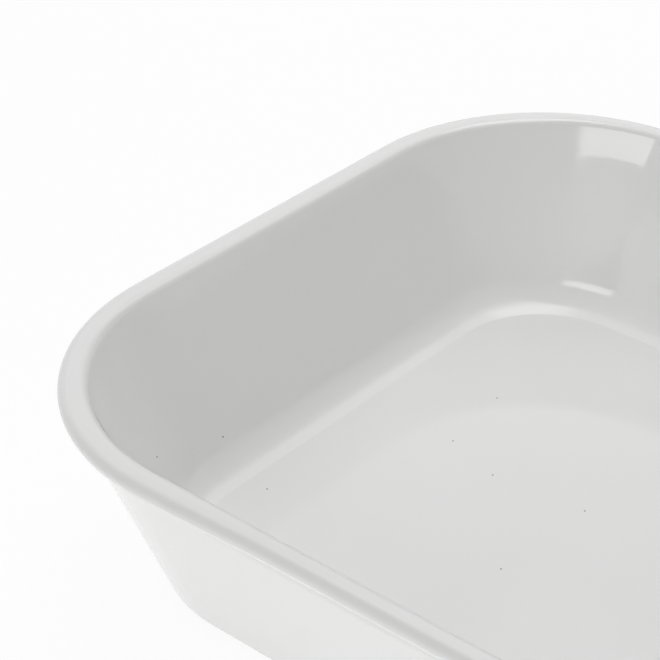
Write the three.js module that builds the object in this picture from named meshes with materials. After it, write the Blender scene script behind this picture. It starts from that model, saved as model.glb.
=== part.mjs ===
// Rectangular baking dish: a cast ceramic vessel with sloping walls, a rolled rim and a foot ring,
// under a fired glaze. Millimetres, +Z up, origin on the table under the middle of the dish,
// X along the length and Y along the width.
import * as THREE from 'three';

// Outline of the rim and height over all
const rimLength = 360;
const rimWidth = 250;
const rimCornerRadius = 68.5;
const dishHeight = 65.5;

// Walls and floor of the finished dish, glaze included
const wallThickness = 5.4;
const wallDraft = THREE.MathUtils.degToRad(21.2);
const floorThickness = 6.6;
const floorFilletRadius = 8.5;
const baseRoundRadius = 5;
const leastCornerRadius = 4;

// Rolled rim: a bead that stands out over the wall, flat on top and eased into the inside
const rimBeadRadius = 2.6;
const rimOverhang = 3.8;
const rimNeckRadius = 1.2;
const rimInnerRadius = 3;

// Foot ring that the dish stands on, bare clay, and the underside that it holds off the table
const footHeight = 1.2;
const footWidth = 5.5;
const footSetback = 1.4;
const footEdgeRadius = 0.5;
const undersideRecess = 0.6;

// Glaze
const glazeThickness = 0.4;
const undersideGlazeMargin = 0.8;

// Smoothness of the curves
const cornerSteps = 12;
const arcStep = THREE.MathUtils.degToRad(22.5);

const quarterTurn = Math.PI / 2;
const halfTurn = Math.PI;
const slope = Math.tan(wallDraft);
const slant = 1 / Math.cos(wallDraft);

// Heights and insets of the section. An inset is measured inwards from the rim's outer edge.
const rimUnderside = dishHeight - 2 * rimBeadRadius;
const undersideHeight = footHeight + undersideRecess;
const floorHeight = undersideHeight + floorThickness;
const outerWallInset = (height) => rimOverhang + (rimUnderside - height) * slope;
const innerWallInset = (height) => outerWallInset(height) + wallThickness * slant;

// Centres of the section's arcs
const floorFillet = centreAt(innerWallInset, floorHeight + floorFilletRadius, floorFilletRadius);
const rimInside = centreAt(innerWallInset, dishHeight - rimInnerRadius, -rimInnerRadius);
const rimBead = new THREE.Vector2(rimBeadRadius, dishHeight - rimBeadRadius);
const rimNeck = centreAt(outerWallInset, rimUnderside - rimNeckRadius, -rimNeckRadius);
const baseRound = centreAt(outerWallInset, footHeight + baseRoundRadius, baseRoundRadius);

const footOuterInset = baseRound.x + footSetback;
const footInnerInset = footOuterInset + footWidth;

// Centre of an arc that touches a sloping wall, `reach` towards the middle of the dish from it
function centreAt(wallInset, height, reach) {
  return new THREE.Vector2(wallInset(height) + reach * slant, height);
}

function arc(centre, radius, from, to) {
  const steps = Math.ceil(Math.abs(to - from) / arcStep);
  return new THREE.EllipseCurve(centre.x, centre.y, radius, radius, from, to, to < from).getPoints(steps);
}

// Section of the vessel, `depth` below the glazed surface, from the floor over the rim to the base
function vesselSection(depth) {
  return [
    ...arc(floorFillet, floorFilletRadius + depth, 3 * quarterTurn, halfTurn + wallDraft),
    ...arc(rimInside, rimInnerRadius - depth, wallDraft, quarterTurn),
    ...arc(rimBead, rimBeadRadius - depth, quarterTurn, 3 * quarterTurn),
    ...arc(rimNeck, rimNeckRadius + depth, quarterTurn, wallDraft),
    ...arc(baseRound, baseRoundRadius - depth, halfTurn + wallDraft, 3 * quarterTurn),
  ];
}

// Section of the foot ring, from its outer side under its flat face to the underside
function footSection() {
  const outerEdge = new THREE.Vector2(footOuterInset + footEdgeRadius, footEdgeRadius);
  const innerEdge = new THREE.Vector2(footInnerInset - footEdgeRadius, footEdgeRadius);
  return [
    new THREE.Vector2(footOuterInset, footHeight + glazeThickness),
    ...arc(outerEdge, footEdgeRadius, halfTurn, 3 * quarterTurn),
    ...arc(innerEdge, footEdgeRadius, 3 * quarterTurn, 4 * quarterTurn),
    new THREE.Vector2(footInnerInset, undersideHeight),
  ];
}

// Section of the glaze inside the foot ring, which lies against the clay of the underside
function undersideGlazeSection() {
  const edgeInset = footInnerInset + undersideGlazeMargin;
  return [
    new THREE.Vector2(edgeInset, undersideHeight),
    new THREE.Vector2(edgeInset, undersideHeight - glazeThickness),
  ];
}

// Rounded rectangle that lies `inset` inside the rim's outline, anticlockwise seen from above
function outline({ x: inset, y: height }) {
  const radius = Math.max(rimCornerRadius - inset, leastCornerRadius);
  const alongX = rimLength / 2 - inset - radius;
  const alongY = rimWidth / 2 - inset - radius;
  const points = [];
  for (const [turn, sideX, sideY] of [[0, 1, 1], [1, -1, 1], [2, -1, -1], [3, 1, -1]]) {
    for (let step = 0; step <= cornerSteps; step++) {
      const angle = (turn + step / cornerSteps) * quarterTurn;
      points.push(new THREE.Vector3(
        sideX * alongX + radius * Math.cos(angle),
        sideY * alongY + radius * Math.sin(angle),
        height,
      ));
    }
  }
  return points;
}

// Closed solid: the section carried round the dish, with a flat lid over its first and last outline
function sweep(section) {
  const outlines = section.map(outline);
  const count = outlines[0].length;
  const points = outlines.flat();
  const faces = [];
  for (let ring = 0; ring + 1 < outlines.length; ring++) {
    for (let step = 0; step < count; step++) {
      const here = ring * count + step;
      const next = ring * count + (step + 1) % count;
      // Every face is split from its lower edge up, so that two solids that share a surface meet on it
      if (section[ring].y < section[ring + 1].y) {
        faces.push(here, here + count, next + count, here, next + count, next);
      } else {
        faces.push(here, here + count, next, next, here + count, next + count);
      }
    }
  }
  const firstMiddle = points.push(new THREE.Vector3(0, 0, section[0].y)) - 1;
  const lastMiddle = points.push(new THREE.Vector3(0, 0, section.at(-1).y)) - 1;
  const lastRing = (outlines.length - 1) * count;
  for (let step = 0; step < count; step++) {
    const next = (step + 1) % count;
    faces.push(firstMiddle, step, next, lastMiddle, lastRing + next, lastRing + step);
  }
  const geometry = new THREE.BufferGeometry().setFromPoints(points);
  geometry.setIndex(faces);
  geometry.computeVertexNormals();
  return geometry;
}

const bareClay = new THREE.MeshStandardMaterial({ color: 0xe3dccf, roughness: 0.85, metalness: 0 });
const whiteGlaze = new THREE.MeshStandardMaterial({ color: 0xf1f0ec, roughness: 0.12, metalness: 0 });
const undersideWhiteGlaze = whiteGlaze.clone();

function named(name, section, material) {
  const mesh = new THREE.Mesh(sweep(section), material);
  mesh.name = name;
  return mesh;
}

const clay = vesselSection(glazeThickness);
const bakingDish = new THREE.Group();
bakingDish.add(
  named('ceramic_body', [...clay, ...footSection()], bareClay),
  named('glaze_coat', [...vesselSection(0), ...clay.toReversed()], whiteGlaze),
  named('underside_glaze', undersideGlazeSection(), undersideWhiteGlaze),
);

export default bakingDish;
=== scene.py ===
import math

import bmesh
import bpy
from mathutils import Matrix, Vector


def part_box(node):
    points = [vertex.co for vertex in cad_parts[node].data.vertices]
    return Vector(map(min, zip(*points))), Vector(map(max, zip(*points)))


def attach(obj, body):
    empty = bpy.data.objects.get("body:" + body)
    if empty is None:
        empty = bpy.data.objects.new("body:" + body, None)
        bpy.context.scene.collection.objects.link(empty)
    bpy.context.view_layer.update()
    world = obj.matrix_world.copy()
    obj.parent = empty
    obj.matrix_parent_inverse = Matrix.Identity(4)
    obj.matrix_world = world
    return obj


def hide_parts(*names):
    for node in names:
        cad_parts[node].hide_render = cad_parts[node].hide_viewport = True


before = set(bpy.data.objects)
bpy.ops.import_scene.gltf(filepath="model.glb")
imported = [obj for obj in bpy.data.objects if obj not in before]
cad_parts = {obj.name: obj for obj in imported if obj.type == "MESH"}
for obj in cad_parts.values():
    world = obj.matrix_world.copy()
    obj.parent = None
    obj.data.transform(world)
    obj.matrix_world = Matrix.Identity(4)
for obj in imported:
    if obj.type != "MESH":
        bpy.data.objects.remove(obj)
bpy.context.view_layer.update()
mm = 0.001
print("frame loaded")

# sizes of the dish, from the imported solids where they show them
coatLow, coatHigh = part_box("glaze_coat")
patchLow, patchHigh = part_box("underside_glaze")
dish = {
    "length": coatHigh.x - coatLow.x,
    "width": coatHigh.y - coatLow.y,
    "height": coatHigh.z,
    "glaze": patchHigh.z - patchLow.z,
    "cornerRadius": 68.5 * mm,  # of the rim's outline, and every inset outline shares its centres
    "draft": math.radians(21.2),  # lean of the walls
    "wall": 5.4 * mm,
    "floorTop": 8.4 * mm,
    "floorFillet": 13 * mm,
    "floorRun": 6.5 * mm,  # the fillet runs out on a low ramp, which meets the floor in a crease
    "floorLift": math.radians(22),
    "floorCrease": 1.3 * mm,
    "rimInside": 3 * mm,
    "bead": 2.6 * mm,
    "overhang": 3.8 * mm,
    "neck": 1.2 * mm,
    "baseHeight": coatLow.z,  # the glaze stops here, clear of the table
    "baseRound": 5 * mm,
    "cornerSteps": 36,
    "lengthSteps": 18,
    "widthSteps": 10,
    "longestEdge": 2.5 * mm,  # along the section
    "weld": 0.001 * mm,
}
# segments of each round of the section
roundSteps = {"crease": 5, "fillet": 16, "rim": 12, "neck": 8, "base": 10, "edge": 4, "foot": 5}
cornerX = dish["length"] / 2 - dish["cornerRadius"]
cornerY = dish["width"] / 2 - dish["cornerRadius"]
slope = math.tan(dish["draft"])
slant = 1 / math.cos(dish["draft"])
underRim = dish["height"] - 2 * dish["bead"]


def outerWall(z):
    return dish["overhang"] + (underRim - z) * slope


def ramp(value, low, high):
    t = min(max((value - low) / (high - low), 0), 1)
    return t * t * (3 - 2 * t)


# where the glaze ends under the base, straight below the centre of the base's round
baseRoundTop = dish["baseHeight"] + dish["baseRound"]
glazeEnd = outerWall(baseRoundTop) + dish["baseRound"] * slant


# corners of a section are (inset from the rim's edge, height, radius, steps)
# these two take the floor up to the wall, `depth` under the surface
def floorCorners(depth, inset, z):
    draft = dish["draft"]
    lift = dish["floorLift"]
    up = dish["floorRun"] * math.sin(lift) / math.cos(draft + lift)
    rampTop = (inset - up * math.sin(draft), z + up * math.cos(draft))
    return [
        (inset + dish["floorRun"], z, dish["floorCrease"] + depth, roundSteps["crease"]),
        (*rampTop, dish["floorFillet"] + depth, roundSteps["fillet"]),
    ]


def vesselCorners(depth):
    shift = depth * slant
    inner = dish["wall"] * slant - shift
    floorZ = dish["floorTop"] - depth
    topZ = dish["height"] - depth
    lipZ = underRim + depth
    baseZ = dish["baseHeight"] + depth
    return [
        *floorCorners(depth, outerWall(floorZ) + inner, floorZ),
        (outerWall(topZ) + inner, topZ, dish["rimInside"] - depth, roundSteps["rim"]),
        (depth, topZ, dish["bead"] - depth, roundSteps["rim"]),
        (depth, lipZ, dish["bead"] - depth, roundSteps["rim"]),
        (outerWall(lipZ) + shift, lipZ, dish["neck"] + depth, roundSteps["neck"]),
        (outerWall(baseZ) + shift, baseZ, dish["baseRound"] - depth, roundSteps["base"]),
    ]


# the section stands as a wire beside the first corner and is rounded corner by corner
def drawSection(bm, corners):
    edgeX = cornerX + dish["cornerRadius"]
    points = [bm.verts.new((edgeX - inset, cornerY, z)) for inset, z, _, _ in corners]
    for pair in zip(points, points[1:]):
        bm.edges.new(pair)
    turns = [0.0] * len(points)
    for i in range(1, len(points) - 1):
        before = points[i].co - points[i - 1].co
        after = points[i + 1].co - points[i].co
        turns[i] = before.angle(after)
    for point, turn, (_, _, radius, steps) in zip(points, turns, corners):
        if radius:
            bmesh.ops.bevel(
                bm, geom=[point], offset=radius * math.tan(turn / 2), offset_type="ABSOLUTE",
                affect="VERTICES", segments=steps, profile=0.5, material=-1,
            )
    for edge in list(bm.edges):
        cuts = int(edge.calc_length() / dish["longestEdge"])
        if cuts:
            bmesh.ops.subdivide_edges(bm, edges=[edge], cuts=cuts)


# carries the section round the four corners and along the four sides
def carryRound(bm):
    last = bm.verts[:] + bm.edges[:]
    for sideX, sideY in ((1, 1), (-1, 1), (-1, -1), (1, -1)):
        turned = bmesh.ops.spin(
            bm, geom=last, cent=(sideX * cornerX, sideY * cornerY, 0), axis=(0, 0, 1),
            angle=math.pi / 2, steps=dish["cornerSteps"],
        )
        if sideX == sideY:
            steps = dish["lengthSteps"]
            run = Vector((-2 * sideX * cornerX, 0, 0))
        else:
            steps = dish["widthSteps"]
            run = Vector((0, -2 * sideY * cornerY, 0))
        moved = bmesh.ops.spin(
            bm, geom=turned["geom_last"], cent=(0, 0, 0), axis=(0, 0, 1),
            dvec=run / steps, angle=0, steps=steps,
        )
        last = moved["geom_last"]


# the cast isn't quite even: inside, the back wall opens a little under the rim
backLean = {
    "start": 54.6 * mm,  # height at which it starts
    "rise": 0.09 * mm,  # and how much higher for each degree round the corner
    "bend": 62.4 * mm,  # height at which it levels out
    "level": 0.8 * mm,  # over this much more
    "radius": 30 * mm,
    "fade": (30, 48),  # degrees round the corner
}
# outside, the near rim is slim along the straight
nearRim = {
    "start": 57 * mm,
    "full": 61 * mm,
    "slim": 1.35 * mm,
    "fade": 45 * mm,
}
wallShare = (0.2, 0.85)  # part of the wall's thickness over which the outside turns into the inside


def backLeanAt(z, angle):
    climb = max(min(z, backLean["bend"]) - backLean["start"] - backLean["rise"] * angle, 0)
    over = min(max(z - backLean["bend"], 0), backLean["level"])
    lean = climb * climb / 2 + climb * (over - over * over / backLean["level"] / 2)
    return lean / backLean["radius"]


def makeUneven(bm):
    for vert in bm.verts:
        x, y, z = vert.co
        out = Vector((max(abs(x) - cornerX, 0), abs(y) - cornerY))
        if out.y <= 0 or z < backLean["start"]:
            continue
        angle = math.degrees(math.atan2(out.x, out.y))
        inset = dish["cornerRadius"] - out.length
        inside = ramp((inset - outerWall(z)) / (dish["wall"] * slant), *wallShare)
        if y > 0:
            push = inside * (1 - ramp(angle, *backLean["fade"])) * backLeanAt(z, angle)
        else:
            along = ramp(cornerX - abs(x), 0, nearRim["fade"])
            high = ramp(z, nearRim["start"], nearRim["full"])
            push = -(1 - inside) * along * high * nearRim["slim"]
        out = out.normalized() * push
        vert.co.x += out.x * math.copysign(1, x)
        vert.co.y += out.y * math.copysign(1, y)


# one closed piece of the dish: the section's ends lie on the corner's centre, and a grid fills the middle
def sweptPiece(name, corners):
    bm = bmesh.new()
    middle = dish["cornerRadius"]
    firstZ = corners[0][1]
    lastZ = corners[-1][1]
    drawSection(bm, [(middle, firstZ, 0, 0), *corners, (middle, lastZ, 0, 0)])
    carryRound(bm)
    for z in (firstZ, lastZ):
        bmesh.ops.create_grid(
            bm, x_segments=dish["lengthSteps"], y_segments=dish["widthSteps"], size=1,
            matrix=Matrix.Translation((0, 0, z)) @ Matrix.Diagonal((cornerX, cornerY, 1, 1)),
        )
    bmesh.ops.remove_doubles(bm, verts=bm.verts, dist=dish["weld"])
    bmesh.ops.dissolve_degenerate(bm, edges=bm.edges, dist=dish["weld"])
    bmesh.ops.recalc_face_normals(bm, faces=bm.faces)
    makeUneven(bm)
    openEdges = sum(not edge.is_manifold for edge in bm.edges)
    mesh = bpy.data.meshes.new(name)
    bm.to_mesh(mesh)
    bm.free()
    mesh.shade_smooth()
    piece = bpy.data.objects.new(name, mesh)
    bpy.context.scene.collection.objects.link(piece)
    print(name, len(mesh.polygons), "faces,", openEdges, "open edges")
    return piece


# a new material's nodes, with helpers that take numbers, colours or sockets alike
class Shading:
    def __init__(self, name):
        self.material = bpy.data.materials.new(name)
        self.material.use_nodes = True
        self.nodes = self.material.node_tree.nodes
        self.links = self.material.node_tree.links
        self.shader = self.nodes["Principled BSDF"]
        self.place = self.nodes.new("ShaderNodeTexCoord").outputs["Object"]

    def set(self, socket, value):
        if isinstance(value, bpy.types.NodeSocket):
            self.links.new(value, socket)
        else:
            socket.default_value = value

    def noise(self, scale, detail=2.0):
        node = self.nodes.new("ShaderNodeTexNoise")
        node.inputs["Scale"].default_value = scale
        node.inputs["Detail"].default_value = detail
        self.links.new(self.place, node.inputs["Vector"])
        return node.outputs["Fac"]

    # distance from the nearest of scattered points, in cells, and a random number for each cell
    def scatter(self, cell):
        node = self.nodes.new("ShaderNodeTexVoronoi")
        node.inputs["Scale"].default_value = 1 / cell
        self.links.new(self.place, node.inputs["Vector"])
        split = self.nodes.new("ShaderNodeSeparateColor")
        self.links.new(node.outputs["Color"], split.inputs[0])
        return node.outputs["Distance"], split.outputs[0]

    def distanceFrom(self, point):
        node = self.nodes.new("ShaderNodeVectorMath")
        node.operation = "DISTANCE"
        self.links.new(self.place, node.inputs[0])
        node.inputs[1].default_value = point
        return node.outputs["Value"]

    def math(self, operation, a, b):
        node = self.nodes.new("ShaderNodeMath")
        node.operation = operation
        self.set(node.inputs[0], a)
        self.set(node.inputs[1], b)
        return node.outputs[0]

    def range(self, value, fromLow, fromHigh, toLow=0.0, toHigh=1.0):
        node = self.nodes.new("ShaderNodeMapRange")
        self.links.new(value, node.inputs["Value"])
        node.inputs["From Min"].default_value = fromLow
        node.inputs["From Max"].default_value = fromHigh
        node.inputs["To Min"].default_value = toLow
        node.inputs["To Max"].default_value = toHigh
        return node.outputs["Result"]

    def mix(self, share, a, b):
        node = self.nodes.new("ShaderNodeMix")
        node.data_type = "RGBA"
        self.links.new(share, node.inputs["Factor"])
        self.set(node.inputs[6], a)
        self.set(node.inputs[7], b)
        return node.outputs[2]

    def attribute(self, name):
        node = self.nodes.new("ShaderNodeAttribute")
        node.attribute_name = name
        return node.outputs["Fac"]

    def bump(self, height, distance):
        node = self.nodes.new("ShaderNodeBump")
        node.inputs["Distance"].default_value = distance
        self.links.new(height, node.inputs["Height"])
        return node.outputs["Normal"]


def glazeMaterial(name, look):
    shading = Shading(name)
    cloud = shading.range(shading.noise(look["cloudScale"], 3), 0.35, 0.65)
    colour = shading.mix(cloud, look["white"], look["cloud"])
    # painted shade: the rim's rounds turn a darker grey where the vertex attribute says so
    colour = shading.mix(shading.attribute("paintedRimShade"), colour, look["paintedRimShade"])
    far, pick = shading.scatter(look["scatter"])
    reach = look["pinhole"] / look["scatter"]
    hole = shading.range(far, reach, 0.5 * reach)
    hole = shading.math("MULTIPLY", hole, shading.math("LESS_THAN", pick, look["share"]))
    for speck in look["specks"]:
        near = shading.distanceFrom(Vector(speck) * mm)
        hole = shading.math("MAXIMUM", hole, shading.range(near, look["speck"], 0.6 * look["speck"]))
    colour = shading.mix(hole, colour, look["hole"])
    shading.set(shading.shader.inputs["Base Color"], colour)
    rough = shading.range(shading.noise(look["roughScale"]), 0.3, 0.7, *look["roughness"])
    shading.set(shading.shader.inputs["Roughness"], rough)
    wave = shading.noise(look["waveScale"], 1)
    shading.set(shading.shader.inputs["Normal"], shading.bump(wave, look["waveHeight"]))
    return shading.material


def clayMaterial(look):
    shading = Shading("bareClay")
    grain = shading.noise(look["grainScale"], 4)
    colour = shading.mix(shading.range(grain, 0.3, 0.7), look["pale"], look["dark"])
    toast = shading.range(shading.noise(look["toastScale"], 3), 0.4, 0.7, 0, look["toastShare"])
    colour = shading.mix(toast, colour, look["toast"])
    far, _ = shading.scatter(look["scatter"])
    reach = look["speck"] / look["scatter"]
    colour = shading.mix(shading.range(far, reach, 0.5 * reach), colour, look["speckColour"])
    shading.set(shading.shader.inputs["Base Color"], colour)
    rough = shading.range(grain, 0.3, 0.7, *look["roughness"])
    shading.set(shading.shader.inputs["Roughness"], rough)
    shading.set(shading.shader.inputs["Normal"], shading.bump(grain, look["grainHeight"]))
    return shading.material


# painted shade: the rim's rounds are coloured a darker grey, most of all along the slim near side, standing
# in for the band of shade and dim reflection there and toning down the highlight on the inner round
rimShadeLook = {
    "beadReach": 2.9 * mm,  # down from the top of the rim, outside
    "easeReach": 2.5 * mm,  # and inside
    "top": 0.9 * mm,
    "beadWidth": 4.5 * mm,
    "easeShare": 0.55,
    "otherSides": 0.3,
    "fade": (12, 38),  # degrees round the corner
    "flat": (0.8, 0.985),  # up part of the normal, where the rim's top gets no painted shade
}


# sets, for each vertex, how much painted shade the rim's rounds get
def markRimShade(piece):
    values = []
    for vert in piece.data.vertices:
        x, y, z = vert.co
        out = Vector((max(abs(x) - cornerX, 0), max(abs(y) - cornerY, 0)))
        if out.length > dish["cornerRadius"] - rimShadeLook["beadWidth"]:
            angle = math.degrees(math.atan2(out.x, -y - cornerY))
            share = 1 - (1 - rimShadeLook["otherSides"]) * ramp(angle, *rimShadeLook["fade"])
            reach = rimShadeLook["beadReach"]
        else:
            share = rimShadeLook["easeShare"]
            reach = rimShadeLook["easeReach"]
        high = ramp(z, dish["height"] - reach, dish["height"] - rimShadeLook["top"])
        values.append(share * high * (1 - ramp(vert.normal.z, *rimShadeLook["flat"])))
    paintedRimShade = piece.data.attributes.new("paintedRimShade", "FLOAT", "POINT")
    paintedRimShade.data.foreach_set("value", values)


def dress(piece, material, node):
    piece.data.materials.append(material)
    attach(piece, "root")
    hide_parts(node)


# the glaze and the clay meet on this section
clayTop = vesselCorners(dish["glaze"])
clayEdge = (glazeEnd, dish["baseHeight"] + dish["glaze"], 0, 0)

coat = {
    "edge": 0.3 * mm,
    "white": (0.85, 0.849, 0.846, 1),
    "cloud": (0.842, 0.84, 0.836, 1),
    "cloudScale": 16,
    # darker grey painted on the rim's rounds as shade
    "paintedRimShade": (0.765, 0.763, 0.756, 1),
    "pinhole": 0.2 * mm,
    "scatter": 14 * mm,
    "share": 0.35,
    "hole": (0.2, 0.18, 0.15, 1),
    "speck": 0.32 * mm,
    "specks": [
        (-153.1, -76.5, 27.5), (-154.3, -48.4, 18.7), (-136.8, -48.8, 8.4), (-110.3, 5.3, 8.4),
        (-90.9, -0.8, 8.4), (-113.9, 32.4, 8.4), (-63.2, -34.4, 8.4), (-60.5, 2.3, 8.4),
    ],
    "roughness": (0.045, 0.075),
    "roughScale": 40,
    "waveScale": 70,
    "waveHeight": 0.02 * mm,
}
glazeShell = sweptPiece("glazed_shell", [
    *vesselCorners(0),
    (glazeEnd, dish["baseHeight"], coat["edge"], roundSteps["edge"]),
    clayEdge,
    *reversed(clayTop),
])
markRimShade(glazeShell)
dress(glazeShell, glazeMaterial("whiteGlaze", coat), "glaze_coat")

clay = {
    "footSetback": 1.4 * mm,
    "footWidth": 5.5 * mm,
    "footEdge": 0.5 * mm,
    "pale": (0.74, 0.68, 0.58, 1),
    "dark": (0.66, 0.59, 0.48, 1),
    "grainScale": 900,
    "grainHeight": 0.05 * mm,
    "toast": (0.58, 0.45, 0.32, 1),
    "toastScale": 30,
    "toastShare": 0.5,
    "speck": 0.3 * mm,
    "scatter": 4 * mm,
    "speckColour": (0.35, 0.27, 0.2, 1),
    "roughness": (0.8, 0.92),
}
footOuter = glazeEnd + clay["footSetback"]
footInner = footOuter + clay["footWidth"]
clayBody = sweptPiece("clay_body", [
    *clayTop,
    (footOuter, clayEdge[1], 0, 0),
    (footOuter, 0, clay["footEdge"], roundSteps["foot"]),
    (footInner, 0, clay["footEdge"], roundSteps["foot"]),
    (footInner, patchHigh.z, 0, 0),
])
dress(clayBody, clayMaterial(clay), "ceramic_body")

# the same glaze, thinner and with more pinholes
undersideCoat = dict(coat, white=(0.8, 0.797, 0.787, 1), cloud=(0.77, 0.765, 0.747, 1), share=0.8, specks=[])
patchEdge = dish["width"] / 2 - patchHigh.y
undersideGlaze = sweptPiece("underside_glaze_patch", [
    (patchEdge, patchHigh.z, 0, 0),
    (patchEdge, patchLow.z, undersideCoat["edge"], roundSteps["edge"]),
])
markRimShade(undersideGlaze)
undersideMaterial = glazeMaterial("undersideGlaze", undersideCoat)
dress(undersideGlaze, undersideMaterial, "underside_glaze")
print("pieces made")

# floor, lights and camera
floorLook = {
    "size": 8,
    "depth": 0.05 * mm,  # clear of the foot ring
    "colour": (0.95, 0.95, 0.95, 1),
    "roughness": 0.9,
    "glow": 0.93,  # share of plain white where it is seen, the rest takes the shadow
}


# 1 for what the camera sees, also mirrored or through glass, and 0 for what lights the dish
def seenDirectly(nodes, links):
    path = nodes.new("ShaderNodeLightPath")
    seen = path.outputs["Is Camera Ray"]
    for name in ("Is Glossy Ray", "Is Transmission Ray"):
        either = nodes.new("ShaderNodeMath")
        either.operation = "MAXIMUM"
        links.new(seen, either.inputs[0])
        links.new(path.outputs[name], either.inputs[1])
        seen = either.outputs[0]
    return seen


def makeFloor():
    bm = bmesh.new()
    bmesh.ops.create_grid(
        bm, x_segments=1, y_segments=1, size=floorLook["size"] / 2,
        matrix=Matrix.Translation((0, 0, -floorLook["depth"])),
    )
    mesh = bpy.data.meshes.new("floor")
    bm.to_mesh(mesh)
    bm.free()
    floor = bpy.data.objects.new("floor", mesh)
    bpy.context.scene.collection.objects.link(floor)
    material = bpy.data.materials.new("paleFloor")
    material.use_nodes = True
    nodes, links = material.node_tree.nodes, material.node_tree.links
    shader = nodes["Principled BSDF"]
    shader.inputs["Base Color"].default_value = floorLook["colour"]
    shader.inputs["Roughness"].default_value = floorLook["roughness"]
    white = nodes.new("ShaderNodeEmission")
    share = nodes.new("ShaderNodeMath")
    share.operation = "MULTIPLY"
    links.new(seenDirectly(nodes, links), share.inputs[0])
    share.inputs[1].default_value = floorLook["glow"]
    mix = nodes.new("ShaderNodeMixShader")
    links.new(share.outputs[0], mix.inputs[0])
    links.new(shader.outputs[0], mix.inputs[1])
    links.new(white.outputs[0], mix.inputs[2])
    links.new(mix.outputs[0], nodes["Material Output"].inputs["Surface"])
    mesh.materials.append(material)


makeFloor()

ambient = 0.4  # light of the world on the dish, while the camera sees white


def makeWorld():
    world = bpy.data.worlds.new("studio")
    bpy.context.scene.world = world
    world.use_nodes = True
    nodes, links = world.node_tree.nodes, world.node_tree.links
    background = nodes["Background"]
    background.inputs["Color"].default_value = (1, 1, 1, 1)
    strength = nodes.new("ShaderNodeMapRange")
    links.new(seenDirectly(nodes, links), strength.inputs["Value"])
    strength.inputs["To Min"].default_value = ambient
    strength.inputs["To Max"].default_value = 1
    links.new(strength.outputs[0], background.inputs["Strength"])


makeWorld()

# brightness over a softbox, as (place, share) along its length and up its height
frontProfile = {
    "X": [(0, 0.3), (0.03, 1), (0.84, 1), (0.97, 0)],
    "Y": [(0, 0), (0.26, 0), (0.31, 1), (0.9, 1), (0.94, 0)],
}
glowProfile = {
    "X": [(0, 0), (0.25, 1), (0.4, 1), (1, 0)],
    "Y": [(0, 0), (0.85, 1), (1, 0.6)],
}
topProfile = {
    "X": [(0, 0), (0.05, 0.25), (0.27, 0.3), (0.42, 1), (0.66, 1), (0.8, 0.4), (1, 0.2)],
    "Y": [(0, 0.8), (0.1, 1), (0.5, 1), (0.64, 0.42), (0.9, 0.42), (1, 0)],
}
backProfile = {
    "X": [(0, 0), (0.15, 1), (0.85, 1), (1, 0)],
    "Y": [(0, 0), (0.15, 1), (0.85, 1), (1, 0)],
}

# places and sizes in mm
# fill is the radiance that a lamp throws on the dish, shine the radiance of its picture in the glaze
lamps = {
    "frontSoftbox": {
        "place": (24, -1490, 723), "aim": (-90, 110, 57), "size": (1362, 960),
        "fill": 0.83, "shine": 3.6, "profile": frontProfile,
    },
    "frontGlow": {
        "place": (350, -1495, 360), "aim": (350, 0, 360), "size": (2200, 260),
        "shine": 0.5, "profile": glowProfile,
    },
    "topSoftbox": {
        "place": (-160, 530, 1010), "aim": (-160, 531, 0), "size": (1180, 1000),
        "shine": 3.4, "profile": topProfile,
    },
    "backGlow": {
        "place": (-830, 1112, 912), "aim": (-80, 0, 40), "size": (1400, 900),
        "shine": 0.34, "profile": backProfile,
    },
    "leftFill": {"place": (-566, 566, 1000), "aim": (0, 0, 30), "size": (700, 700), "fill": 1.95},
    "overheadFill": {"place": (0, 0, 1300), "aim": (0, 1, 0), "size": (900, 900), "fill": 1.42},
    "tableFill": {"place": (0, 0, 1), "aim": (0, 1, 500), "size": (1800, 1800), "fill": 0.3},
}
shineGap = 10 * mm  # a lamp's picture stands this far in front of its fill, so that neither hides the other


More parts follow.
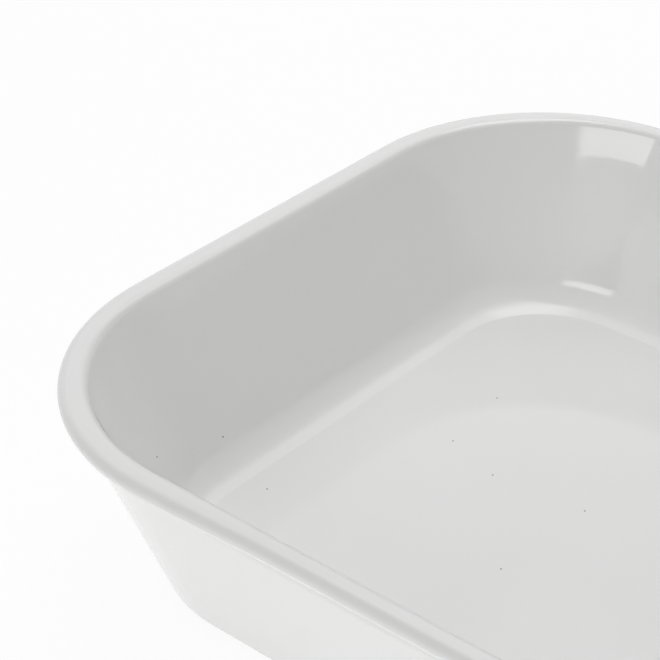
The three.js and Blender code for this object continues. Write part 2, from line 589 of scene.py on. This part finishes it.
def shapeLight(lamp, profile):
    lamp.use_nodes = True
    nodes, links = lamp.node_tree.nodes, lamp.node_tree.links
    split = nodes.new("ShaderNodeSeparateXYZ")
    links.new(nodes.new("ShaderNodeNewGeometry").outputs["Parametric"], split.inputs[0])
    product = nodes.new("ShaderNodeMath")
    product.operation = "MULTIPLY"
    for socket, (axis, stops) in zip(product.inputs, profile.items()):
        curve = nodes.new("ShaderNodeValToRGB")
        links.new(split.outputs[axis], curve.inputs[0])
        elements = curve.color_ramp.elements
        while len(elements) < len(stops):
            elements.new(1)
        for element, (place, share) in zip(elements, stops):
            element.position = place
            element.color = (share, share, share, 1)
        links.new(curve.outputs["Color"], socket)
    links.new(product.outputs[0], nodes["Emission"].inputs["Strength"])


def makePanel(name, look, part):
    lamp = bpy.data.lights.new(name + part, "AREA")
    lamp.shape = "RECTANGLE"
    lamp.size = look["size"][0] * mm
    lamp.size_y = look["size"][1] * mm
    lamp.energy = look[part] * math.pi * lamp.size * lamp.size_y
    if part == "shine" and "profile" in look:
        shapeLight(lamp, look["profile"])
    panel = bpy.data.objects.new(name + part, lamp)
    bpy.context.scene.collection.objects.link(panel)
    place = Vector(look["place"]) * mm
    aim = Vector(look["aim"]) * mm - place
    panel.location = place + aim.normalized() * (shineGap if part == "shine" else 0)
    panel.rotation_mode = "QUATERNION"
    panel.rotation_quaternion = aim.to_track_quat("-Z", "Y")
    panel.visible_camera = False
    panel.visible_glossy = part == "shine"
    panel.visible_diffuse = part == "fill"


for name, look in lamps.items():
    for part in ("fill", "shine"):
        if part in look:
            makePanel(name, look, part)

view = {
    "place": (186.45, -400.85, 365.23),
    "target": (-156.74, 2.87, 30),
    "lens": 111.55,
    "sensor": 36,
    "nearest": 10 * mm,
}
camera = bpy.data.cameras.new("camera")
camera.sensor_width = view["sensor"]
camera.lens = view["lens"]
camera.clip_start = view["nearest"]
cameraObject = bpy.data.objects.new("camera", camera)
bpy.context.scene.collection.objects.link(cameraObject)
cameraObject.location = Vector(view["place"]) * mm
sight = Vector(view["target"]) - Vector(view["place"])
cameraObject.rotation_mode = "QUATERNION"
cameraObject.rotation_quaternion = sight.to_track_quat("-Z", "Y")
bpy.context.scene.camera = cameraObject
bpy.context.scene.view_settings.view_transform = "Standard"
print("stage set")
